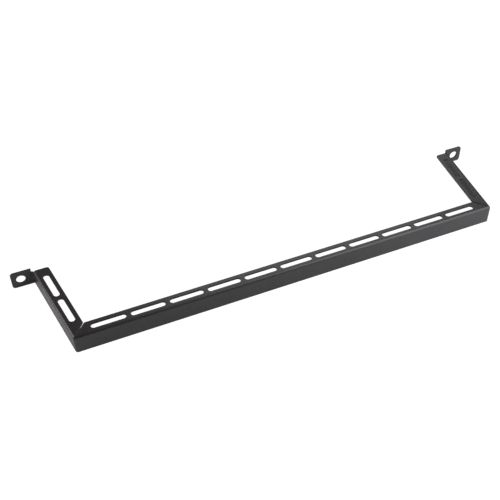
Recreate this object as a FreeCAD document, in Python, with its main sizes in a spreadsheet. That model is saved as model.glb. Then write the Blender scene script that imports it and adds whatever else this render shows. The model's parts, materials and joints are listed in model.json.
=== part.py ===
import FreeCAD, Part
import math
import os
import Sketcher
from FreeCAD import Placement, Rotation, Vector

# Cable lacing bar: one folded steel sheet. A slotted L-section bar runs across the rack, two slotted arms
# splay back from its ends, and an ear at the back of each arm is bolted to the rack rail.
# The body is drawn from the bar's front lower edge: X along the bar, Y back to the ears, Z up.
# Its placement then puts the part's origin midway between the two rail holes, on the ears' back face.

doc = FreeCAD.newDocument("LacingBar")

# Driving dimensions, in millimetres and degrees
sheet_of_sizes = doc.addObject("Spreadsheet::Sheet", "dims")
SIZES = {
    "overall_width": 482.6,       # over the ears, a 19 inch rack panel's width
    "reach": 100.0,               # bar's front face to the ears' back face
    "height": 18.2,               # lower edge to the top of the flange
    "arm_splay": 7.75,            # each arm leans out from square by this angle
    "sheet": 1.5,                 # sheet thickness
    "bend_radius": 1.0,           # inside radius of every fold
    "ear_length": 19.69,          # ear's outer end to the arm's outer face, where it meets the ears' back
    "hole_margin": 8.75,          # ear's outer end to the rail hole's centre
    "hole_diameter": 8.5,         # clearance for a rack screw
    "flange_width": 14.0,         # outer face to the flange's free edge
    "slot_length": 31.0,          # end to end
    "slot_width": 5.4,
    "slot_bridge": 4.15,          # strip of flange left between two slots
    "slot_setback": 7.4,          # outer face to the slot's centre line
    "bar_slot_margin": 16.5,      # least distance from an outer corner to the bar's first slot
    "arm_slot_margin": 18.3,      # outer corner to the arm's first slot
    "flange_setback": 5.6,        # ears' back face to the end of the arm's flange
    "flange_corner": 2.5,         # round of the flange's free back corner
    "ear_height": 17.4,
    "ear_corner": 3.0,            # round of the ear's two outer corners
    "neck_height": 13.4,          # strip's height where it is cut down to turn into the ear
    "neck_relief": 0.8,           # end of the arm's flange to the neck
    "seam_outer": 0.15,           # width of the mitred seam over the fold
    "seam_inner": 1.2,            # width of the mitred seam where it leaves the flange
}
for row, (name, value) in enumerate(SIZES.items(), start=1):
    sheet_of_sizes.set(f"A{row}", name)
    sheet_of_sizes.set(f"B{row}", str(value))
    sheet_of_sizes.setAlias(f"B{row}", name)
doc.recompute()


def size(name):
    """A driving dimension, read back from its cell."""
    return float(sheet_of_sizes.get(name))


# Sizes that follow from the driving ones, as formulas for the features
OUTER_RADIUS = "(dims.bend_radius + dims.sheet)"
HALF_WIDTH = "dims.overall_width / 2"
HALF_BAR = f"({HALF_WIDTH} - dims.ear_length - dims.reach * tan(dims.arm_splay))"
MITRE_ANGLE = "(90 + dims.arm_splay) / 2"
CORNER_TANGENT = f"{OUTER_RADIUS} / tan({MITRE_ANGLE})"
WEB_HEIGHT = f"dims.height - {OUTER_RADIUS}"
FLANGE_END = "(dims.reach - dims.flange_setback)"
WEB_END = f"{FLANGE_END} + dims.neck_relief"
EAR_BEND = f"(dims.reach - {OUTER_RADIUS} + dims.bend_radius * sin(dims.arm_splay)) * tan(dims.arm_splay)"
EAR_START = f"{HALF_BAR} + {EAR_BEND} + dims.bend_radius * cos(dims.arm_splay)"
ARM_FOLD_END = f"({FLANGE_END} - {OUTER_RADIUS} * sin(dims.arm_splay)) / cos(dims.arm_splay)"
ARM_TURN = "90 - dims.arm_splay"

# Each row has as many slots as its flange has room for, one pitch apart
SLOT_PITCH = "(dims.slot_length + dims.slot_bridge)"
BAR_ROOM = f"2 * ({HALF_BAR} - dims.bar_slot_margin) - dims.slot_length"
BAR_SLOT_GAPS = f"floor(({BAR_ROOM}) / {SLOT_PITCH})"
ARM_SLOT_LINE = f"({FLANGE_END} - dims.slot_setback * sin(dims.arm_splay)) / cos(dims.arm_splay)"
ARM_ROOM = f"{ARM_SLOT_LINE} - dims.arm_slot_margin - dims.slot_length - dims.slot_bridge"
ARM_SLOT_GAPS = f"floor(({ARM_ROOM}) / {SLOT_PITCH})"
BAR_SLOT_PLACE = f"-{BAR_SLOT_GAPS} / 2 * {SLOT_PITCH}"
ARM_SLOT_PLACE = "dims.arm_slot_margin + dims.slot_length / 2"

# The same sizes as numbers, to draw the sketches where their constraints will hold them
splay = math.radians(size("arm_splay"))
half_width = size("overall_width") / 2
half_bar = half_width - size("ear_length") - size("reach") * math.tan(splay)
inner_radius = size("bend_radius")
outer_radius = inner_radius + size("sheet")
mitre = (math.pi / 2 + splay) / 2
corner_tangent = outer_radius / math.tan(mitre)
flange_end = size("reach") - size("flange_setback")
web_end = flange_end + size("neck_relief")
arm_way = Vector(math.sin(splay), math.cos(splay), 0)
arm_inward = Vector(-math.cos(splay), math.sin(splay), 0)
corner = Vector(half_bar, 0, 0)

# A sketch's numbers for the points of a line or an arc, and for its axes; its origin starts the X axis
START, END, CENTRE = range(1, 4)
X_AXIS, Y_AXIS = range(-1, -3, -1)
ORIGIN = X_AXIS

# Two lengths closer than this are the same
SAME = 1e-5

body = doc.addObject("PartDesign::Body", "lacing_bar")
body.Label = "lacing_bar"


def arm_point(inward, y):
    """Plan point of the right arm at a distance inward from its outer face, where it reaches y."""
    along = (y - arm_inward.y * inward) / arm_way.y
    return corner + arm_way * along + arm_inward * inward


def origin_plane(role):
    """One of the body's three origin planes."""
    return next(item for item in body.Origin.OriginFeatures if item.Role == role)


def new_sketch(name, role):
    """A sketch on one of the body's origin planes."""
    made = body.newObject("Sketcher::SketchObject", name)
    made.AttachmentSupport = [(origin_plane(role), "")]
    made.MapMode = "FlatFace"
    return made


def chain(sketch, points, construction=False):
    """Lines from point to point; returns their numbers."""
    pairs = zip(points[:-1], points[1:])
    return [sketch.addGeometry(Part.LineSegment(a, b), construction) for a, b in pairs]


def loop(sketch, points):
    """Lines through the points and back to the first, joined end to end; returns their numbers."""
    lines = chain(sketch, points + points[:1])
    for one, following in zip(lines, lines[1:] + lines[:1]):
        tie(sketch, ("Coincident", one, END, following, START))
    return lines


def arc(sketch, centre, radius, first, last):
    """An arc from one angle to another, in radians."""
    circle = Part.Circle(centre, Vector(0, 0, 1), radius)
    return sketch.addGeometry(Part.ArcOfCircle(circle, first, last), False)


def tie(sketch, *rules):
    """Geometric constraints, each given as its kind and what it holds."""
    for rule in rules:
        sketch.addConstraint(Sketcher.Constraint(*rule))


def dimension(sketch, name, formula, *rule):
    """A dimension bound to the sheet; the rule's last value only starts it off."""
    number = sketch.addConstraint(Sketcher.Constraint(*rule))
    sketch.renameConstraint(number, name)
    sketch.setExpression(f"Constraints.{name}", formula)


def feature(kind, name, sketch, **formulas):
    """A feature of the body made from a sketch, with its sizes bound to the sheet."""
    made = body.newObject(f"PartDesign::{kind}", name)
    made.Profile = sketch
    for field, formula in formulas.items():
        made.setExpression(field, formula)
    return made


def cut_through(name, sketch):
    """A pocket through everything that the sketch faces; it has to take material away."""
    before = body.Shape.Volume
    made = feature("Pocket", name, sketch)
    made.Type = "ThroughAll"
    doc.recompute()
    if made.Shape.Volume > before - SAME:
        raise RuntimeError(f"{name} cut nothing")
    return made


def draw_web():
    """Plan of the upright strip: the bar, its bent corner and the arm, up to the neck."""
    sketch = new_sketch("web_plan", "XY_Plane")
    thick = size("sheet")
    bend = Vector(half_bar - corner_tangent, outer_radius, 0)
    outer_side = bend - arm_inward * outer_radius
    inner_side = bend - arm_inward * inner_radius
    stop = arm_point(0, web_end)
    front = chain(sketch, [Vector(0, 0, 0), Vector(bend.x, 0, 0)])[0]
    outer_bend = arc(sketch, bend, outer_radius, -math.pi / 2, -splay)
    outer, cut, inner = chain(sketch, [outer_side, stop, stop + arm_inward * thick, inner_side])
    inner_bend = arc(sketch, bend, inner_radius, -math.pi / 2, -splay)
    back, middle = chain(sketch, [Vector(bend.x, thick, 0), Vector(0, thick, 0), Vector(0, 0, 0)])
    sharp = sketch.addGeometry(Part.Point(corner), True)
    tie(
        sketch,
        ("Coincident", front, START, ORIGIN, START),
        ("Horizontal", front),
        ("Tangent", front, END, outer_bend, START),
        ("Tangent", outer_bend, END, outer, START),
        ("Coincident", outer, END, cut, START),
        ("Perpendicular", outer, cut),
        ("Coincident", cut, END, inner, START),
        ("Parallel", inner, outer),
        ("Tangent", inner, END, inner_bend, END),
        ("Tangent", inner_bend, START, back, START),
        ("Horizontal", back),
        ("Coincident", back, END, middle, START),
        ("Coincident", middle, END, front, START),
        ("Vertical", middle),
        ("Coincident", outer_bend, CENTRE, inner_bend, CENTRE),
        ("PointOnObject", sharp, START, X_AXIS),
        ("PointOnObject", sharp, START, outer),
    )
    dimension(sketch, "half_bar", HALF_BAR, "DistanceX", ORIGIN, START, sharp, START, half_bar)
    dimension(sketch, "splay", ARM_TURN, "Angle", X_AXIS, START, outer, START, math.pi / 2 - splay)
    dimension(sketch, "fold", "dims.bend_radius", "Radius", inner_bend, inner_radius)
    dimension(sketch, "thickness", "dims.sheet", "Distance", middle, thick)
    dimension(sketch, "web_end", WEB_END, "DistanceY", ORIGIN, START, outer, END, web_end)
    return sketch


def draw_neck():
    """Plan of the strip's last stretch along the arm and its fold outward, up to the ear."""
    sketch = new_sketch("neck_plan", "XY_Plane")
    thick = size("sheet")
    reach = size("reach")
    bend = arm_point(-inner_radius, reach - outer_radius)
    stop = arm_point(0, web_end)
    outer = chain(sketch, [stop, bend + arm_inward * inner_radius])[0]
    front_bend = arc(sketch, bend, inner_radius, math.pi / 2, math.pi - splay)
    joint = chain(sketch, [Vector(bend.x, reach - thick, 0), Vector(bend.x, reach, 0)])[0]
    back_bend = arc(sketch, bend, outer_radius, math.pi / 2, math.pi - splay)
    inner, cut = chain(sketch, [bend + arm_inward * outer_radius, stop + arm_inward * thick, stop])
    sharp = sketch.addGeometry(Part.Point(corner), True)
    tie(
        sketch,
        ("Tangent", outer, END, front_bend, END),
        ("Coincident", front_bend, START, joint, START),
        ("Vertical", front_bend, CENTRE, front_bend, START),
        ("Vertical", joint),
        ("Coincident", joint, END, back_bend, START),
        ("Tangent", back_bend, END, inner, START),
        ("Parallel", inner, outer),
        ("Coincident", inner, END, cut, START),
        ("Perpendicular", cut, outer),
        ("Coincident", cut, END, outer, START),
        ("Coincident", front_bend, CENTRE, back_bend, CENTRE),
        ("PointOnObject", sharp, START, X_AXIS),
        ("PointOnObject", sharp, START, outer),
    )
    dimension(sketch, "half_bar", HALF_BAR, "DistanceX", ORIGIN, START, sharp, START, half_bar)
    dimension(sketch, "splay", ARM_TURN, "Angle", X_AXIS, START, outer, START, math.pi / 2 - splay)
    dimension(sketch, "fold", "dims.bend_radius", "Radius", front_bend, inner_radius)
    dimension(sketch, "thickness", "dims.sheet", "Distance", joint, thick)
    dimension(sketch, "reach", "dims.reach", "DistanceY", ORIGIN, START, joint, END, reach)
    dimension(sketch, "web_end", WEB_END, "DistanceY", ORIGIN, START, outer, START, web_end)
    return sketch


def draw_ear():
    """Plan of the ear's flat, from its fold to its outer end."""
    sketch = new_sketch("ear_plan", "XY_Plane")
    thick = size("sheet")
    reach = size("reach")
    bend_end = arm_point(-inner_radius, reach - outer_radius).x
    front, tip, back, joint = loop(
        sketch,
        [
            Vector(bend_end, reach - thick, 0),
            Vector(half_width, reach - thick, 0),
            Vector(half_width, reach, 0),
            Vector(bend_end, reach, 0),
        ],
    )
    tie(sketch, ("Horizontal", front), ("Vertical", tip), ("Horizontal", back), ("Vertical", joint))
    dimension(sketch, "start", EAR_START, "DistanceX", ORIGIN, START, front, START, bend_end)
    dimension(sketch, "half_width", HALF_WIDTH, "DistanceX", ORIGIN, START, back, START, half_width)
    dimension(sketch, "thickness", "dims.sheet", "Distance", tip, thick)
    dimension(sketch, "reach", "dims.reach", "DistanceY", ORIGIN, START, back, START, reach)
    return sketch


def draw_fold(name):
    """Section of the fold between the upright strip and the flange: a quarter ring, and an upright line
    above the ring's centre, about which the section can turn."""
    sketch = new_sketch(name, "YZ_Plane")
    thick = size("sheet")
    top = size("height")
    axis = Vector(outer_radius, top - outer_radius, 0)
    outside = arc(sketch, axis, outer_radius, math.pi / 2, math.pi)
    inside = arc(sketch, axis, inner_radius, math.pi / 2, math.pi)
    foot = chain(sketch, [Vector(0, axis.y, 0), Vector(thick, axis.y, 0)])[0]
    edge = chain(sketch, [Vector(axis.x, top - thick, 0), Vector(axis.x, top, 0)])[0]
    upright = chain(sketch, [axis, Vector(axis.x, top, 0)], True)[0]
    tie(
        sketch,
        ("Coincident", upright, START, outside, CENTRE),
        ("Coincident", upright, END, edge, END),
        ("Coincident", outside, END, foot, START),
        ("Coincident", inside, END, foot, END),
        ("Coincident", inside, START, edge, START),
        ("Coincident", outside, START, edge, END),
        ("Coincident", outside, CENTRE, inside, CENTRE),
        ("Horizontal", foot),
        ("Vertical", edge),
        ("Horizontal", outside, CENTRE, outside, END),
        ("Vertical", outside, CENTRE, outside, START),
        ("PointOnObject", outside, END, Y_AXIS),
    )
    dimension(sketch, "fold", "dims.bend_radius", "Radius", inside, inner_radius)
    dimension(sketch, "thickness", "dims.sheet", "Distance", foot, thick)
    dimension(sketch, "height", "dims.height", "DistanceY", ORIGIN, START, outside, START, top)
    return sketch


def turn_to_arm(sketch, away):
    """Turns a section so that its pad runs along the arm, starting a distance from the outer corner."""
    sketch.AttachmentOffset = Placement(Vector(0, 0, 0), Rotation(Vector(0, 1, 0), 90))
    sketch.setExpression("AttachmentOffset.Rotation.Angle", ARM_TURN)
    sketch.setExpression("AttachmentOffset.Base.x", f"({away}) * cos(dims.arm_splay)")
    sketch.setExpression("AttachmentOffset.Base.z", f"{HALF_BAR} + ({away}) * sin(dims.arm_splay)")


def draw_flange():
    """Plan of the flange: the bar's flat and the arm's, which meet along the corner's mitre."""
    sketch = new_sketch("flange_plan", "XY_Plane")
    sketch.setExpression("AttachmentOffset.Base.z", "dims.height - dims.sheet")
    width = size("flange_width")
    mitre_way = Vector(-math.cos(mitre), math.sin(mitre), 0)
    fold, side, back, free, edge, middle = loop(
        sketch,
        [
            Vector(0, outer_radius, 0),
            corner + mitre_way * (outer_radius / math.sin(mitre)),
            arm_point(outer_radius, flange_end),
            arm_point(width, flange_end),
            corner + mitre_way * (width / math.sin(mitre)),
            Vector(0, width, 0),
        ],
    )
    face = chain(sketch, [corner, arm_point(0, flange_end)], True)[0]
    tie(
        sketch,
        ("PointOnObject", face, START, X_AXIS),
        ("PointOnObject", face, END, back),
        ("PointOnObject", fold, START, Y_AXIS),
        ("Horizontal", fold),
        ("Parallel", side, face),
        ("Horizontal", back),
        ("Parallel", free, face),
        ("Horizontal", edge),
        ("Vertical", middle),
    )
    dimension(sketch, "half_bar", HALF_BAR, "DistanceX", ORIGIN, START, face, START, half_bar)
    dimension(sketch, "splay", ARM_TURN, "Angle", X_AXIS, START, face, START, math.pi / 2 - splay)
    dimension(sketch, "bar_fold", OUTER_RADIUS, "DistanceY", ORIGIN, START, fold, START, outer_radius)
    dimension(sketch, "bar_width", "dims.flange_width", "DistanceY", ORIGIN, START, edge, END, width)
    dimension(sketch, "arm_fold", OUTER_RADIUS, "Distance", side, END, face, outer_radius)
    dimension(sketch, "arm_width", "dims.flange_width", "Distance", free, START, face, width)
    dimension(sketch, "arm_end", FLANGE_END, "DistanceY", ORIGIN, START, back, START, flange_end)
    return sketch


def draw_seam():
    """Plan of the open seam along the mitre: narrow over the corner, wider towards the free edges."""
    sketch = new_sketch("seam_plan", "XY_Plane")
    sketch.setExpression("AttachmentOffset.Base.x", HALF_BAR)
    sketch.setExpression("AttachmentOffset.Base.z", "dims.height")
    sketch.setExpression("AttachmentOffset.Rotation.Angle", f"180 - {MITRE_ANGLE}")
    narrow, wide = size("seam_outer"), size("seam_inner")
    fold_end = outer_radius / math.sin(mitre)
    seam_end = size("flange_width") / math.sin(mitre) + wide
    low, _, far, _, high, near = loop(
        sketch,
        [
            Vector(0, -narrow / 2, 0),
            Vector(fold_end, -narrow / 2, 0),
            Vector(seam_end, -wide / 2, 0),
            Vector(seam_end, wide / 2, 0),
            Vector(fold_end, narrow / 2, 0),
            Vector(0, narrow / 2, 0),
        ],
    )
    tie(
        sketch,
        ("PointOnObject", near, START, Y_AXIS),
        ("Horizontal", low),
        ("Symmetric", near, START, near, END, X_AXIS),
        ("Symmetric", low, END, high, START, X_AXIS),
        ("Symmetric", far, START, far, END, X_AXIS),
    )
    fold_formula = f"{OUTER_RADIUS} / sin({MITRE_ANGLE})"
    end_formula = f"dims.flange_width / sin({MITRE_ANGLE}) + dims.seam_inner"
    dimension(sketch, "narrow", "dims.seam_outer", "Distance", near, narrow)
    dimension(sketch, "wide", "dims.seam_inner", "Distance", far, wide)
    dimension(sketch, "fold_end", fold_formula, "DistanceX", ORIGIN, START, low, END, fold_end)
    dimension(sketch, "seam_end", end_formula, "DistanceX", ORIGIN, START, far, START, seam_end)
    return sketch


def draw_slot(name, place, start):
    """A round-ended slot along the sketch's own X, its centre line set back from the outer face."""
    sketch = new_sketch(name, "XY_Plane")
    sketch.setExpression("AttachmentOffset.Base.z", "dims.height")
    radius = size("slot_width") / 2
    run = size("slot_length") / 2 - radius
    level = size("slot_setback")
    low, high = Vector(0, -radius, 0), Vector(0, radius, 0)
    left_end, right_end = Vector(start - run, level, 0), Vector(start + run, level, 0)
    left = arc(sketch, left_end, radius, math.pi / 2, 3 * math.pi / 2)
    right = arc(sketch, right_end, radius, -math.pi / 2, math.pi / 2)
    lower = chain(sketch, [left_end + low, right_end + low])[0]
    upper = chain(sketch, [right_end + high, left_end + high])[0]
    centre = sketch.addGeometry(Part.Point(Vector(start, level, 0)), True)
    tie(
        sketch,
        ("Tangent", left, END, lower, START),
        ("Tangent", lower, END, right, START),
        ("Tangent", right, END, upper, START),
        ("Tangent", upper, END, left, START),
        ("Horizontal", lower),
        ("Symmetric", left, CENTRE, right, CENTRE, centre, START),
    )
    run_formula = "dims.slot_length / 2 - dims.slot_width / 2"
    dimension(sketch, "end_round", "dims.slot_width / 2", "Radius", left, radius)
    dimension(sketch, "half_run", run_formula, "DistanceX", centre, START, right, CENTRE, run)
    dimension(sketch, "place", place, "DistanceX", ORIGIN, START, centre, START, start)
    dimension(sketch, "setback", "dims.slot_setback", "DistanceY", ORIGIN, START, centre, START, level)
    return sketch


def repeat_slots(name, pocket, sketch, gaps):
    """A row of slots along the sketch's X, one pitch apart, with so many gaps between them."""
    made = body.newObject("PartDesign::LinearPattern", name)
    made.Originals = [pocket]
    made.Direction = (sketch, ["H_Axis"])
    made.setExpression("Occurrences", f"{gaps} + 1")
    made.setExpression("Length", f"{gaps} * {SLOT_PITCH}")
    body.Tip = made
    doc.recompute()
    return made


def draw_hole():
    """The rail hole, in the middle of the ear's height."""
    sketch = new_sketch("hole_face", "XZ_Plane")
    radius = size("hole_diameter") / 2
    middle = Vector(half_width - size("hole_margin"), size("ear_height") / 2, 0)
    rim = sketch.addGeometry(Part.Circle(middle, Vector(0, 0, 1), radius), False)
    hole_side = f"{HALF_WIDTH} - dims.hole_margin"
    dimension(sketch, "radius", "dims.hole_diameter / 2", "Radius", rim, radius)
    dimension(sketch, "side", hole_side, "DistanceX", ORIGIN, START, rim, CENTRE, middle.x)
    dimension(sketch, "level", "dims.ear_height / 2", "DistanceY", ORIGIN, START, rim, CENTRE, middle.y)
    return sketch


def round_corners(name, radius, chosen):
    """A fillet on the edges that pass the test, of the shape as it stands."""
    base = body.Tip
    edges = [f"Edge{number}" for number, edge in enumerate(base.Shape.Edges, start=1) if chosen(edge)]
    made = body.newObject("PartDesign::Fillet", name)
    made.Base = (base, edges)
    made.setExpression("Radius", radius)
    doc.recompute()
    return made


def runs_across(edge, way):
    """Whether a straight edge goes through the sheet's thickness along the given way."""
    step = edge.Vertexes[-1].Point - edge.Vertexes[0].Point
    return abs(abs(step.dot(way)) - size("sheet")) < SAME and abs(edge.Length - size("sheet")) < SAME


def ear_corner(edge):
    """The short edges through the sheet at the ear's outer end."""
    at_tip = abs(edge.BoundBox.XMin - half_width) < SAME
    return at_tip and runs_across(edge, Vector(0, 1, 0))


def flange_corner(edge):
    """The upright edge at the free back corner of the arm's flange."""
    place = arm_point(size("flange_width"), flange_end)
    start = edge.Vertexes[0].Point
    near = math.hypot(start.x - place.x, start.y - place.y) < SAME
    return near and runs_across(edge, Vector(0, 0, 1))


# The right half: upright strip, neck, ear, folds, the corner between them, flange and seam
feature("Pad", "web", draw_web(), Length=WEB_HEIGHT)
feature("Pad", "neck", draw_neck(), Length="dims.neck_height")
feature("Pad", "ear", draw_ear(), Length="dims.ear_height")
feature("Pad", "bar_fold", draw_fold("bar_fold_section"), Length=f"{HALF_BAR} - {CORNER_TANGENT}")
arm_section = draw_fold("arm_fold_section")
turn_to_arm(arm_section, CORNER_TANGENT)
feature("Pad", "arm_fold", arm_section, Length=f"{ARM_FOLD_END} - {CORNER_TANGENT}")
corner_section = draw_fold("corner_section")
corner_section.setExpression("AttachmentOffset.Base.z", f"{HALF_BAR} - {CORNER_TANGENT}")
corner_fold = feature("Revolution", "corner_fold", corner_section, Angle=ARM_TURN)
corner_fold.ReferenceAxis = (corner_section, ["Axis0"])
feature("Pad", "flange", draw_flange(), Length="dims.sheet")
feature("Pocket", "seam", draw_seam(), Length=OUTER_RADIUS)
doc.recompute()

# Its slots, rail hole and rounded corners
first_slot = size("arm_slot_margin") + size("slot_length") / 2
arm_slot_plan = draw_slot("arm_slot_plan", ARM_SLOT_PLACE, first_slot)
arm_slot_plan.setExpression("AttachmentOffset.Base.x", HALF_BAR)
arm_slot_plan.setExpression("AttachmentOffset.Rotation.Angle", ARM_TURN)
arm_slot = cut_through("arm_slot", arm_slot_plan)
repeat_slots("arm_slots", arm_slot, arm_slot_plan, ARM_SLOT_GAPS)
cut_through("rail_hole", draw_hole())
round_corners("ear_rounds", "dims.ear_corner", ear_corner)
round_corners("flange_round", "dims.flange_corner", flange_corner)

# The left half mirrors it, and the bar's slots run across both
mirrored = body.newObject("PartDesign::Mirrored", "both_halves")
mirrored.TransformMode = "Whole shape"
mirrored.MirrorPlane = (origin_plane("YZ_Plane"), [""])
body.Tip = mirrored
doc.recompute()
first_slot = size("bar_slot_margin") + size("slot_length") / 2 - half_bar
bar_slot_plan = draw_slot("bar_slot_plan", BAR_SLOT_PLACE, first_slot)
bar_slot = cut_through("bar_slot", bar_slot_plan)
repeat_slots("bar_slots", bar_slot, bar_slot_plan, BAR_SLOT_GAPS)

# The part's origin lies midway between the rail holes, on the ears' back face
body.setExpression("Placement.Base.y", "-dims.reach")
body.setExpression("Placement.Base.z", "-dims.ear_height / 2")
doc.recompute()

for item in doc.Objects:
    if "Invalid" in item.State or "Error" in item.State:
        raise RuntimeError(f"{item.Name} failed: {item.State}")
if body.Shape.isNull() or not body.Shape.isValid() or len(body.Shape.Solids) != 1:
    raise RuntimeError("the bar isn't one valid solid")

os.makedirs("parts", exist_ok=True)
body.Shape.exportStep(f"parts/{body.Label}.step")
box = body.Shape.BoundBox
spans = f"{box.XLength:.2f} x {box.YLength:.2f} x {box.ZLength:.2f} mm"
print(f"{body.Label}: {spans}, {body.Shape.Volume:.1f} mm3")
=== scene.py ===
import json
import math

import bpy
import numpy as np
from mathutils import Matrix, Vector


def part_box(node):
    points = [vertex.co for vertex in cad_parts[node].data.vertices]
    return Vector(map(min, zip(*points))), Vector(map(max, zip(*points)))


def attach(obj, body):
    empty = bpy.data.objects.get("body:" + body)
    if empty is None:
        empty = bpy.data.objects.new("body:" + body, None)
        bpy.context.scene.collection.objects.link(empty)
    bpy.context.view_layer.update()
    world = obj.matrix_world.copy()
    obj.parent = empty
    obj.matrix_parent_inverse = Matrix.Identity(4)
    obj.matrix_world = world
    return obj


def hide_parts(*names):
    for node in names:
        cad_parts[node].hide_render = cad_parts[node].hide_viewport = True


# A cable lacing bar: one steel sheet, slotted, folded and coated black. The sheet's outer face is worked
# out as numpy surfaces, welded into one skin, given the sheet's thickness and eased along its cut edges.
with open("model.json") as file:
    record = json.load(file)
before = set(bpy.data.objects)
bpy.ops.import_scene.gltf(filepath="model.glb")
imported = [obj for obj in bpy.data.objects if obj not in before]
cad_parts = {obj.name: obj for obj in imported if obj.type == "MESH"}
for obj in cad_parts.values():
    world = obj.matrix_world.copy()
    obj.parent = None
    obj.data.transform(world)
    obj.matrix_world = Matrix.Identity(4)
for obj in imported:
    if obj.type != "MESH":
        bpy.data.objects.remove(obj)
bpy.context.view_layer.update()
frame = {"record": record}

MM = 0.001

# Tolerances in metres: lengths that count as equal, and points that become one
LENGTH_DIGITS = 9
TINY = 1e-9
WELD_WITHIN = 1e-6

# Sizes of the folded bar, in metres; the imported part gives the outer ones
bar_low, bar_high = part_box("lacing_bar")
HALF_WIDTH = bar_high.x
FRONT = bar_low.y
BOTTOM, TOP = bar_low.z, bar_high.z
RAIL_HOLES = next(mount["dims"] for mount in frame["record"]["mounts"] if mount["name"] == "rail_holes")
HOLE_SIDE = RAIL_HOLES["spacing_x_mm"] / 2 * MM
HOLE_RADIUS = RAIL_HOLES["hole_r_mm"] * MM
REACH = -FRONT
SHEET = 1.5 * MM
INSIDE_BEND = 1.0 * MM
OUTSIDE_BEND = INSIDE_BEND + SHEET
SPLAY = math.radians(7.75)
EAR_LENGTH = 19.69 * MM
EAR_HEIGHT = 17.4 * MM
EAR_CORNER = 3.0 * MM
NECK_HEIGHT = 13.4 * MM
NECK_RELIEF = 0.8 * MM
FLANGE_WIDTH = 14.0 * MM
FLANGE_SETBACK = 5.6 * MM
FLANGE_CORNER = 2.5 * MM
SEAM_AT_FOOT = 0.45 * MM
SEAM_AT_FOLD = 0.3 * MM
SEAM_AT_EDGE = 1.16 * MM
SLOT_LENGTH = 31.0 * MM
SLOT_WIDTH = 5.4 * MM
SLOT_PITCH = 35.15 * MM
SLOT_SETBACK = 7.4 * MM
BAR_SLOTS = 11
ARM_SLOTS = 2
FIRST_ARM_SLOT = 33.8 * MM
EDGE_ROUND = 0.15 * MM
EDGE_SEGMENTS = 3
EDGE_ANGLE = math.radians(40)

# What follows from them
TURN = math.pi / 2 - SPLAY
MITRE = (math.pi / 2 + SPLAY) / 2
HALF_BAR = HALF_WIDTH - EAR_LENGTH - REACH * math.tan(SPLAY)
WEB_HEIGHT = TOP - BOTTOM - OUTSIDE_BEND
CORNER_TANGENT = OUTSIDE_BEND / math.tan(MITRE)
FOLD_START = CORNER_TANGENT + SEAM_AT_FOLD / 2 / math.sin(MITRE)
SEAM_END = FLANGE_WIDTH / math.tan(MITRE) + SEAM_AT_EDGE / 2 / math.sin(MITRE)
FLANGE_END = REACH - FLANGE_SETBACK
FOLD_END = (FLANGE_END - OUTSIDE_BEND * math.sin(SPLAY)) / math.cos(SPLAY)
WEB_END = (FLANGE_END + NECK_RELIEF) / math.cos(SPLAY)
EAR_BEND = (REACH - OUTSIDE_BEND + INSIDE_BEND * math.sin(SPLAY)) / math.cos(SPLAY)
CELL_HALF = SLOT_PITCH / 2
CORNER_LEAD = 1.5 * MM

# How finely the curved stretches are divided
FOLD_STEPS = 10
CORNER_STEPS = 8
EAR_BEND_STEPS = 16
ROUND_STEPS = 6
SIDE_STEPS = 16
STRAIGHT_STEPS = 10
RING_STEPS = 3
PLAIN_STEPS = 6
WEB_STEPS = 7


def grid(rows, columns):
    """Every pair of a row value and a column value, as two arrays of one shape."""
    return np.meshgrid(rows, columns, indexing="ij")


def distinct(lengths):
    """The different lengths among those given, rising, told apart to a millionth of a millimetre."""
    return np.unique(np.round(lengths, LENGTH_DIGITS))


def profile(girth):
    """L-section of the sheet's outer face: distance inward and height, by the way walked from its lower
    edge. It climbs the upright web, turns a quarter circle and runs inward along the flange."""
    bend = np.clip((girth - WEB_HEIGHT) / OUTSIDE_BEND, 0, math.pi / 2)
    flat = np.maximum(girth - WEB_HEIGHT - OUTSIDE_BEND * math.pi / 2, 0)
    inward = OUTSIDE_BEND * (1 - np.cos(bend)) + flat
    height = np.minimum(girth, WEB_HEIGHT) + OUTSIDE_BEND * np.sin(bend)
    return inward, height


def flange_girth(inward):
    """The way walked along the profile to reach a point of the flat flange."""
    return inward - OUTSIDE_BEND + WEB_HEIGHT + OUTSIDE_BEND * math.pi / 2


def on_bar(run, girth):
    """The profile carried along the bar: run is x, measured from the bar's middle."""
    inward, height = profile(girth)
    return np.stack([run, FRONT + inward, BOTTOM + height], axis=-1)


def on_arm(run, girth):
    """The profile carried along the right arm: run is measured from the outer corner, along the arm."""
    inward, height = profile(girth)
    x = HALF_BAR + run * math.sin(SPLAY) - inward * math.cos(SPLAY)
    y = FRONT + run * math.cos(SPLAY) + inward * math.sin(SPLAY)
    return np.stack([x, y, BOTTOM + height], axis=-1)


def corner_way(girth):
    """The way from the straight bar to the seam, by the way walked up the profile. Round the corner the fold
    is part of a ball, and the seam cuts it beside the mitre, a little wider at its foot."""
    radius = OUTSIDE_BEND - profile(girth)[0]
    half_seam = (SEAM_AT_FOLD + (SEAM_AT_FOOT - SEAM_AT_FOLD) * radius / OUTSIDE_BEND) / 2
    short = np.maximum(half_seam - radius * math.cos(MITRE), 0) / math.sin(MITRE)
    turned = np.where(short > 0, 0, TURN / 2 - np.arcsin(half_seam / np.maximum(radius, half_seam)))
    return CORNER_LEAD - short + radius * turned


def on_corner(share, girth):
    """The bar's half of the corner: a straight lead to the tangent point, then round an upright axis."""
    inward, height = profile(girth)
    radius = OUTSIDE_BEND - inward
    way = share * corner_way(girth)
    turned = np.maximum(way - CORNER_LEAD, 0) / np.maximum(radius, TINY)
    x = HALF_BAR - CORNER_TANGENT + np.minimum(way - CORNER_LEAD, 0) + radius * np.sin(turned)
    y = FRONT + OUTSIDE_BEND - radius * np.cos(turned)
    return np.stack([x, y, BOTTOM + height], axis=-1)


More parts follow.
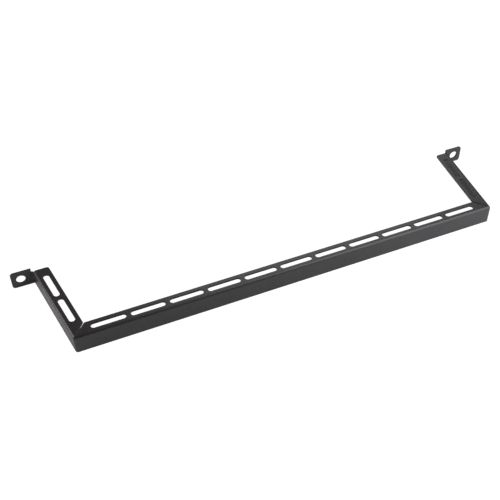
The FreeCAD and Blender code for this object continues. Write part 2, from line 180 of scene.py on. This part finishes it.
def across_mitre(patch):
    """The arm's half of the corner: the bar's half seen in the upright mirror that stands on the mitre."""
    facing = np.array([math.sin(MITRE), math.cos(MITRE), 0.0])
    away = (patch - np.array([HALF_BAR, FRONT, 0.0])) @ facing
    return (patch - 2 * away[..., None] * facing)[:, ::-1]


def on_ear_bend(share, height):
    """The web turned outward into the ear: an arc of the inside bend about an upright axis outside it."""
    angle = math.pi - SPLAY - share * TURN
    centre_x = HALF_BAR + EAR_BEND * math.sin(SPLAY) + INSIDE_BEND * math.cos(SPLAY)
    centre_y = -OUTSIDE_BEND
    x = centre_x + INSIDE_BEND * np.cos(angle)
    y = centre_y + INSIDE_BEND * np.sin(angle)
    return np.stack([x, y, BOTTOM + height], axis=-1)


def slot_ring():
    """One slot's stretch of flange, laid flat about the slot's middle: run and distance inward.
    A ray turns about the ends of the slot's straight middle and slides along it; it starts on the slot's
    round-ended outline and ends on the stretch's rectangle. The ring is divided evenly between the two."""
    radius = SLOT_WIDTH / 2
    straight = SLOT_LENGTH / 2 - radius
    beside = CELL_HALF - straight
    below = SLOT_SETBACK - OUTSIDE_BEND
    above = FLANGE_WIDTH - SLOT_SETBACK
    low_corner, high_corner = -math.atan2(below, beside), math.atan2(above, beside)
    right_turn = np.concatenate([
        np.linspace(-math.pi / 2, low_corner, ROUND_STEPS, endpoint=False),
        np.linspace(low_corner, high_corner, SIDE_STEPS, endpoint=False),
        np.linspace(high_corner, math.pi / 2, ROUND_STEPS, endpoint=False),
    ])
    slide = np.linspace(straight, -straight, STRAIGHT_STEPS, endpoint=False)
    left_turn = math.pi - np.append(right_turn, math.pi / 2)[:0:-1]
    angle = np.concatenate([
        right_turn,
        np.full(STRAIGHT_STEPS, math.pi / 2),
        left_turn,
        np.full(STRAIGHT_STEPS + 1, -math.pi / 2),
    ])
    pivot = np.concatenate([
        np.full(right_turn.size, straight),
        slide,
        np.full(left_turn.size, -straight),
        np.append(-slide, straight),
    ])
    cos, sin = np.cos(angle), np.sin(angle)
    rectangle = 1 / np.maximum.reduce([np.abs(cos) / beside, -sin / below, sin / above])
    share = np.linspace(0, 1, RING_STEPS + 1)
    ray = radius + (rectangle - radius)[:, None] * share
    return pivot[:, None] + ray * cos[:, None], SLOT_SETBACK + ray * sin[:, None]


# Grid lines that neighbouring surfaces share: along a slot's stretch, across the flange, up the section
RING_RUN, RING_INWARD = slot_ring()
ON_FOLD_SIDE = np.isclose(RING_INWARD[:, -1], OUTSIDE_BEND, atol=TINY)
ON_RIGHT_SIDE = np.isclose(RING_RUN[:, -1], CELL_HALF, atol=TINY)
CELL_RUNS = distinct(RING_RUN[ON_FOLD_SIDE, -1])
SIDE_INWARD = distinct(RING_INWARD[ON_RIGHT_SIDE, -1])
NECK_ROWS = np.linspace(0, NECK_HEIGHT, WEB_STEPS + 1)
WEB_ROWS = np.append(NECK_ROWS, WEB_HEIGHT)
FOLD_ROWS = WEB_HEIGHT + np.linspace(0, OUTSIDE_BEND * math.pi / 2, FOLD_STEPS + 1)
UPRIGHT_ROWS = np.append(WEB_ROWS, FOLD_ROWS[1:])
EAR_ROWS = np.append(NECK_ROWS, EAR_HEIGHT)
PLAIN_SHARE = np.linspace(0, 1, PLAIN_STEPS + 1)


def slot_cells(place, middles):
    """The flange's stretch round each slot of a row."""
    return [place(middle + RING_RUN, flange_girth(RING_INWARD)) for middle in middles]


def ruled(place, first_run, last_run, inward_first, inward_last, share):
    """Flat flange between two lines: each point goes a share of the way from the first line to the last."""
    run = first_run[:, None] + (last_run - first_run)[:, None] * share
    inward = inward_first[:, None] + (inward_last - inward_first)[:, None] * share
    return place(run, flange_girth(inward))


def arm_end_line():
    """The end of the arm's flange, parallel to the bar: a straight line, then an arc into the free edge."""
    rounded = SIDE_STEPS // 2
    reach_along = FLANGE_CORNER / math.tan(MITRE)
    corner_run = (FLANGE_END - FLANGE_WIDTH * math.sin(SPLAY)) / math.cos(SPLAY)
    line_run = corner_run + reach_along * math.sin(SPLAY)
    line_inward = FLANGE_WIDTH - reach_along * math.cos(SPLAY)
    share = np.linspace(0, 1, SIDE_STEPS - rounded, endpoint=False)
    angle = SPLAY + np.linspace(0, TURN, rounded + 1)
    centre_run = corner_run - reach_along
    centre_inward = FLANGE_WIDTH - FLANGE_CORNER
    run = np.append(FOLD_END + (line_run - FOLD_END) * share, centre_run + FLANGE_CORNER * np.cos(angle))
    inward = np.append(
        OUTSIDE_BEND + (line_inward - OUTSIDE_BEND) * share, centre_inward + FLANGE_CORNER * np.sin(angle)
    )
    return run, inward


def ear_face():
    """The ear's front face: rays from the rail hole's rim out to the ear's outline, which follows the bend,
    the lower edge, the rounded outer end and the upper edge."""
    bend_x = HALF_BAR + EAR_BEND * math.sin(SPLAY) + INSIDE_BEND * math.cos(SPLAY)
    flat_end = HALF_WIDTH - EAR_CORNER
    low_round = np.linspace(-math.pi / 2, 0, ROUND_STEPS, endpoint=False)
    along = np.linspace(bend_x, flat_end, STRAIGHT_STEPS, endpoint=False)
    up = np.linspace(EAR_CORNER, EAR_HEIGHT - EAR_CORNER, PLAIN_STEPS, endpoint=False)
    x = np.concatenate([
        along,
        flat_end + EAR_CORNER * np.cos(low_round),
        np.full(PLAIN_STEPS, HALF_WIDTH),
        flat_end - EAR_CORNER * np.sin(low_round),
        flat_end + bend_x - along,
        np.full(EAR_ROWS.size, bend_x),
    ])
    z = np.concatenate([
        np.zeros(STRAIGHT_STEPS),
        EAR_CORNER + EAR_CORNER * np.sin(low_round),
        up,
        EAR_HEIGHT - EAR_CORNER + EAR_CORNER * np.cos(low_round),
        np.full(STRAIGHT_STEPS, EAR_HEIGHT),
        EAR_ROWS[::-1],
    ])
    middle = EAR_HEIGHT / 2
    angle = np.arctan2(z - middle, x - HOLE_SIDE)
    rim_x = HOLE_SIDE + HOLE_RADIUS * np.cos(angle)
    rim_z = middle + HOLE_RADIUS * np.sin(angle)
    share = np.linspace(0, 1, RING_STEPS + 1)
    face_x = rim_x[:, None] + (x - rim_x)[:, None] * share
    face_z = rim_z[:, None] + (z - rim_z)[:, None] * share
    return np.stack([face_x, np.full_like(face_x, -SHEET), BOTTOM + face_z], axis=-1)


def bar_middle():
    """The bar over its slots: the upright web, the fold and each slot's stretch of flange."""
    middles = (np.arange(BAR_SLOTS) - (BAR_SLOTS - 1) / 2) * SLOT_PITCH
    girth, run = grid(UPRIGHT_ROWS, distinct(middles[:, None] + CELL_RUNS))
    return [on_bar(run, girth)] + slot_cells(on_bar, middles)


def right_end():
    """The bar's right end, the corner, the arm and the ear."""
    across = (SIDE_INWARD - OUTSIDE_BEND) / (FLANGE_WIDTH - OUTSIDE_BEND)
    seam = FOLD_START + (SEAM_END - FOLD_START) * across
    corner_share = np.linspace(0, 1, CORNER_STEPS + 1)
    lead_start = CORNER_TANGENT + CORNER_LEAD
    beside_seam = lead_start - corner_share * corner_way(FOLD_ROWS[-1])

    last_slot_end = BAR_SLOTS * CELL_HALF
    bar_runs = np.linspace(last_slot_end, HALF_BAR - lead_start, PLAIN_STEPS + 1)
    girth, run = grid(UPRIGHT_ROWS, bar_runs)
    patches = [on_bar(run, girth)]
    flange_runs = np.append(bar_runs, HALF_BAR - beside_seam[1:])
    share = (flange_runs - last_slot_end) / (flange_runs[-1] - last_slot_end)
    start = np.full_like(seam, last_slot_end)
    patches.append(ruled(on_bar, start, HALF_BAR - seam, SIDE_INWARD, SIDE_INWARD, share))

    girth, share = grid(UPRIGHT_ROWS, corner_share)
    bar_half = on_corner(share, girth)
    arm_half = across_mitre(bar_half)
    below_seam = np.stack([bar_half[:WEB_ROWS.size, -1], arm_half[:WEB_ROWS.size, 0]], axis=1)
    patches += [bar_half, below_seam, arm_half]

    arm_middles = FIRST_ARM_SLOT + np.arange(ARM_SLOTS) * SLOT_PITCH
    cells_start = arm_middles[0] - CELL_HALF
    cells_end = arm_middles[-1] + CELL_HALF
    first_runs = np.linspace(lead_start, cells_start, PLAIN_STEPS + 1)
    flange_runs = np.append(beside_seam[:0:-1], first_runs)
    share = (flange_runs - flange_runs[0]) / (cells_start - flange_runs[0])
    end = np.full_like(seam, cells_start)
    patches.append(ruled(on_arm, seam, end, SIDE_INWARD, SIDE_INWARD, share))
    patches += slot_cells(on_arm, arm_middles)
    end_run, end_inward = arm_end_line()
    start = np.full_like(seam, cells_end)
    patches.append(ruled(on_arm, start, end_run, SIDE_INWARD, end_inward, PLAIN_SHARE))
    slot_runs = (arm_middles[:, None] + CELL_RUNS).ravel()
    last_runs = cells_end + (FOLD_END - cells_end) * PLAIN_SHARE
    girth, run = grid(UPRIGHT_ROWS, distinct(np.concatenate([first_runs, slot_runs, last_runs])))
    patches.append(on_arm(run, girth))

    girth, run = grid(WEB_ROWS, np.array([FOLD_END, WEB_END]))
    patches.append(on_arm(run, girth))
    girth, run = grid(NECK_ROWS, np.array([WEB_END, EAR_BEND]))
    patches.append(on_arm(run, girth))
    finer_at_ear = 1 - np.linspace(1, 0, EAR_BEND_STEPS + 1) ** 2
    height, share = grid(NECK_ROWS, finer_at_ear)
    patches.append(on_ear_bend(share, height))
    patches.append(ear_face())
    return patches


def mirrored(patch):
    """A patch of the right end as the left end has it: x changes sign, and the rows turn round to keep
    the outer face outside."""
    return patch[::-1] * np.array([-1.0, 1.0, 1.0])


def weld(patches):
    """All patches as one skin: points that meet are made one, and each grid step is a four-cornered face."""
    points = np.concatenate([patch.reshape(-1, 3) for patch in patches])
    faces = []
    first = 0
    for patch in patches:
        number = first + np.arange(patch.shape[0] * patch.shape[1]).reshape(patch.shape[:2])
        corners = [number[:-1, :-1], number[:-1, 1:], number[1:, 1:], number[1:, :-1]]
        faces.append(np.stack(corners, axis=-1).reshape(-1, 4))
        first += number.size
    _, kept, renumbered = np.unique(
        np.round(points / WELD_WITHIN).astype(np.int64), axis=0, return_index=True, return_inverse=True
    )
    return points[kept], renumbered.ravel()[np.concatenate(faces)]


def folded_sheet():
    """The bar's mesh: its outer skin, thickened inward to the sheet and eased along its cut edges."""
    end = right_end()
    points, faces = weld(bar_middle() + end + [mirrored(patch) for patch in end])
    mesh = bpy.data.meshes.new("folded_sheet")
    mesh.from_pydata(points.tolist(), [], faces.tolist())
    mesh.polygons.foreach_set("use_smooth", np.ones(len(faces), dtype=bool))
    mesh.update()
    sheet = bpy.data.objects.new("folded_sheet", mesh)
    bpy.context.scene.collection.objects.link(sheet)
    thickness = sheet.modifiers.new("sheet_thickness", "SOLIDIFY")
    thickness.thickness = SHEET
    thickness.offset = -1
    thickness.use_even_offset = True
    thickness.use_quality_normals = True
    edges = sheet.modifiers.new("eased_edges", "BEVEL")
    edges.width = EDGE_ROUND
    edges.segments = EDGE_SEGMENTS
    edges.limit_method = "ANGLE"
    edges.angle_limit = EDGE_ANGLE
    edges.use_clamp_overlap = False
    edges.loop_slide = False
    sheet.modifiers.new("flat_faces", "WEIGHTED_NORMAL")
    return sheet


WHITE = (1.0, 1.0, 1.0, 1.0)

# The powder coat: its two tones, its sheen, and the size, detail and relief of what gives it a texture
COAT_DARK = (0.0274, 0.0248, 0.0256, 1.0)
COAT_LIGHT = (0.0359, 0.0326, 0.0335, 1.0)
COAT_ROUGHNESS = (0.27, 0.34)
COAT_IOR = 1.5
CLOUDING_SIZE, CLOUDING_DETAIL = 22 * MM, 3
PEEL_SIZE, PEEL_DETAIL = 1.3 * MM, 2
PEEL_STRENGTH, PEEL_DEPTH = 0.35, 0.03 * MM
GRAIN_SIZE, GRAIN_DETAIL = 0.35 * MM, 2
GRAIN_STRENGTH, GRAIN_DEPTH = 0.25, 0.01 * MM
NOISE_LOW, NOISE_HIGH = 0.3, 0.7


def link(tree, output, socket):
    """Joins a node's output to another's socket."""
    tree.links.new(output, socket)


def black_powder_coat():
    """Black powder coat: a low-sheen skin with a fine orange peel, a finer grain and faint clouding."""
    material = bpy.data.materials.new("black_powder_coat")
    material.use_nodes = True
    tree = material.node_tree
    shader = tree.nodes["Principled BSDF"]
    place = tree.nodes.new("ShaderNodeTexCoord")

    def noise(size, detail):
        """Noise whose features are about so many metres across."""
        node = tree.nodes.new("ShaderNodeTexNoise")
        node.inputs["Scale"].default_value = 1 / size
        node.inputs["Detail"].default_value = detail
        link(tree, place.outputs["Object"], node.inputs["Vector"])
        return node.outputs["Fac"]

    def spread(value, low, high):
        """The middle of a noise's range, spread between two values."""
        node = tree.nodes.new("ShaderNodeMapRange")
        node.inputs["From Min"].default_value = NOISE_LOW
        node.inputs["From Max"].default_value = NOISE_HIGH
        node.inputs["To Min"].default_value = low
        node.inputs["To Max"].default_value = high
        link(tree, value, node.inputs["Value"])
        return node.outputs["Result"]

    def bump(value, strength, depth, before=None):
        """A relief of that depth in metres, on top of an earlier one."""
        node = tree.nodes.new("ShaderNodeBump")
        node.inputs["Strength"].default_value = strength
        node.inputs["Distance"].default_value = depth
        link(tree, value, node.inputs["Height"])
        if before:
            link(tree, before, node.inputs["Normal"])
        return node.outputs["Normal"]

    clouding = noise(CLOUDING_SIZE, CLOUDING_DETAIL)
    peel = noise(PEEL_SIZE, PEEL_DETAIL)
    grain = noise(GRAIN_SIZE, GRAIN_DETAIL)

    tone = tree.nodes.new("ShaderNodeMix")
    tone.data_type = "RGBA"
    tone.inputs["A"].default_value = COAT_DARK
    tone.inputs["B"].default_value = COAT_LIGHT
    link(tree, spread(clouding, 0, 1), tone.inputs["Factor"])
    link(tree, tone.outputs["Result"], shader.inputs["Base Color"])
    link(tree, spread(peel, *COAT_ROUGHNESS), shader.inputs["Roughness"])
    relief = bump(peel, PEEL_STRENGTH, PEEL_DEPTH)
    link(tree, bump(grain, GRAIN_STRENGTH, GRAIN_DEPTH, relief), shader.inputs["Normal"])
    shader.inputs["IOR"].default_value = COAT_IOR
    return material


# The floor: half its side, its own white, its lit grey and how rough it is
FLOOR_HALF = 4.0
FLOOR_WHITE_SEEN = 1.0
FLOOR_WHITE_MIRRORED = 0.16
FLOOR_GREY = 0.8
FLOOR_GREY_SEEN = 0.1
FLOOR_ROUGHNESS = 0.9


def floor():
    """A plain white floor, a flat square at the height of the bar's lower edges, which keeps the bar's soft
    shadow in its lit grey. Its own white shows to the eye and, fainter, in the coat's sheen, but throws no
    light. The eye sees little of the lit grey, so that the two together hardly pass white."""
    corners = np.array([[-1, -1], [1, -1], [1, 1], [-1, 1]]) * FLOOR_HALF
    points = np.column_stack([corners, np.full(4, BOTTOM)])
    mesh = bpy.data.meshes.new("floor")
    mesh.from_pydata(points.tolist(), [], [(0, 1, 2, 3)])
    ground = bpy.data.objects.new("floor", mesh)
    bpy.context.scene.collection.objects.link(ground)
    material = bpy.data.materials.new("white_floor")
    material.use_nodes = True
    tree = material.node_tree
    shader = tree.nodes["Principled BSDF"]
    shader.inputs["Roughness"].default_value = FLOOR_ROUGHNESS
    shader.inputs["Specular IOR Level"].default_value = 0.0
    path = tree.nodes.new("ShaderNodeLightPath")
    grey = tree.nodes.new("ShaderNodeMapRange")
    grey.inputs["To Min"].default_value = FLOOR_GREY
    grey.inputs["To Max"].default_value = FLOOR_GREY_SEEN
    link(tree, path.outputs["Is Camera Ray"], grey.inputs["Value"])
    link(tree, grey.outputs["Result"], shader.inputs["Base Color"])
    mirrored_white = tree.nodes.new("ShaderNodeMath")
    mirrored_white.operation = "MULTIPLY"
    mirrored_white.inputs[1].default_value = FLOOR_WHITE_MIRRORED
    link(tree, path.outputs["Is Glossy Ray"], mirrored_white.inputs[0])
    own_white = tree.nodes.new("ShaderNodeMath")
    own_white.operation = "MULTIPLY_ADD"
    own_white.inputs[1].default_value = FLOOR_WHITE_SEEN
    link(tree, path.outputs["Is Camera Ray"], own_white.inputs[0])
    link(tree, mirrored_white.outputs[0], own_white.inputs[2])
    shader.inputs["Emission Color"].default_value = WHITE
    link(tree, own_white.outputs[0], shader.inputs["Emission Strength"])
    mesh.materials.append(material)
    return ground


# The surroundings: how strong they look, and how strongly they light the bar
ROOM_SEEN = 1.0
ROOM_LIGHT = 0.02


def room():
    """White surroundings for the eye, and an even dim light on the bar."""
    world = bpy.data.worlds.new("studio")
    bpy.context.scene.world = world
    world.use_nodes = True
    tree = world.node_tree
    background = tree.nodes["Background"]
    path = tree.nodes.new("ShaderNodeLightPath")
    level = tree.nodes.new("ShaderNodeMapRange")
    level.inputs["To Min"].default_value = ROOM_LIGHT
    level.inputs["To Max"].default_value = ROOM_SEEN
    link(tree, path.outputs["Is Camera Ray"], level.inputs["Value"])
    background.inputs["Color"].default_value = WHITE
    link(tree, level.outputs["Result"], background.inputs["Strength"])


# Tints of the lamps
COOL = (0.94, 0.95, 1.0)
NEUTRAL = (1.0, 1.0, 1.0)
ROSY = (1.0, 0.97, 0.97)
FAINTLY_ROSY = (1.0, 0.98, 0.99)


def softbox(name, azimuth, elevation, distance, size, watts, tint):
    """A square lamp at a bearing in degrees from the bar, aimed at it: 0 is in front, 90 to the right."""
    lamp = bpy.data.lights.new(name, "AREA")
    lamp.size = size
    lamp.energy = watts
    lamp.color = tint
    side, rise = math.radians(azimuth), math.radians(elevation)
    way = Vector((math.sin(side) * math.cos(rise), -math.cos(side) * math.cos(rise), math.sin(rise)))
    box = bpy.data.objects.new(name, lamp)
    box.location = Vector((0, FRONT / 2, 0)) + way * distance
    box.rotation_euler = way.to_track_quat("Z", "Y").to_euler()
    bpy.context.scene.collection.objects.link(box)


# The photograph's viewpoint: bearing round the bar, tilt, distance, the point looked at and the lens
VIEW_AZIMUTH = math.radians(-23.0985)
VIEW_ELEVATION = math.radians(42.0592)
VIEW_ROLL = math.radians(-0.8718)
VIEW_DISTANCE = 742.883 * MM
VIEW_TARGET = Vector((-31.373, -60.0, 8.953)) * MM
VIEW_LENS = 57.9907
SENSOR_WIDTH = 36


def camera():
    """The camera at the photograph's viewpoint, a little tilted about its own axis."""
    back = Vector((
        math.sin(VIEW_AZIMUTH) * math.cos(VIEW_ELEVATION),
        -math.cos(VIEW_AZIMUTH) * math.cos(VIEW_ELEVATION),
        math.sin(VIEW_ELEVATION),
    ))
    level = Vector((math.cos(VIEW_AZIMUTH), math.sin(VIEW_AZIMUTH), 0))
    upright = back.cross(level)
    right = level * math.cos(VIEW_ROLL) + upright * math.sin(VIEW_ROLL)
    up = upright * math.cos(VIEW_ROLL) - level * math.sin(VIEW_ROLL)
    data = bpy.data.cameras.new("photo_view")
    data.lens = VIEW_LENS
    data.sensor_width = SENSOR_WIDTH
    eye = bpy.data.objects.new("photo_view", data)
    turn = Matrix((right, up, back)).transposed().to_4x4()
    eye.matrix_world = Matrix.Translation(VIEW_TARGET + back * VIEW_DISTANCE) @ turn
    bpy.context.scene.collection.objects.link(eye)
    bpy.context.scene.camera = eye


bar = folded_sheet()
bar.data.materials.append(black_powder_coat())
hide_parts("lacing_bar")
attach(bar, "root")

floor()
room()
softbox("right_front", azimuth=54, elevation=28, distance=0.54, size=0.54, watts=2.55, tint=COOL)
softbox("left", azimuth=-100, elevation=20, distance=0.6, size=0.4, watts=1.5, tint=ROSY)
softbox("above_right", azimuth=62, elevation=66, distance=0.75, size=0.45, watts=1.75, tint=FAINTLY_ROSY)
softbox("behind_right", azimuth=151, elevation=42, distance=1.3, size=0.8, watts=2.75, tint=NEUTRAL)
camera()
bpy.context.scene.view_settings.view_transform = "Standard"
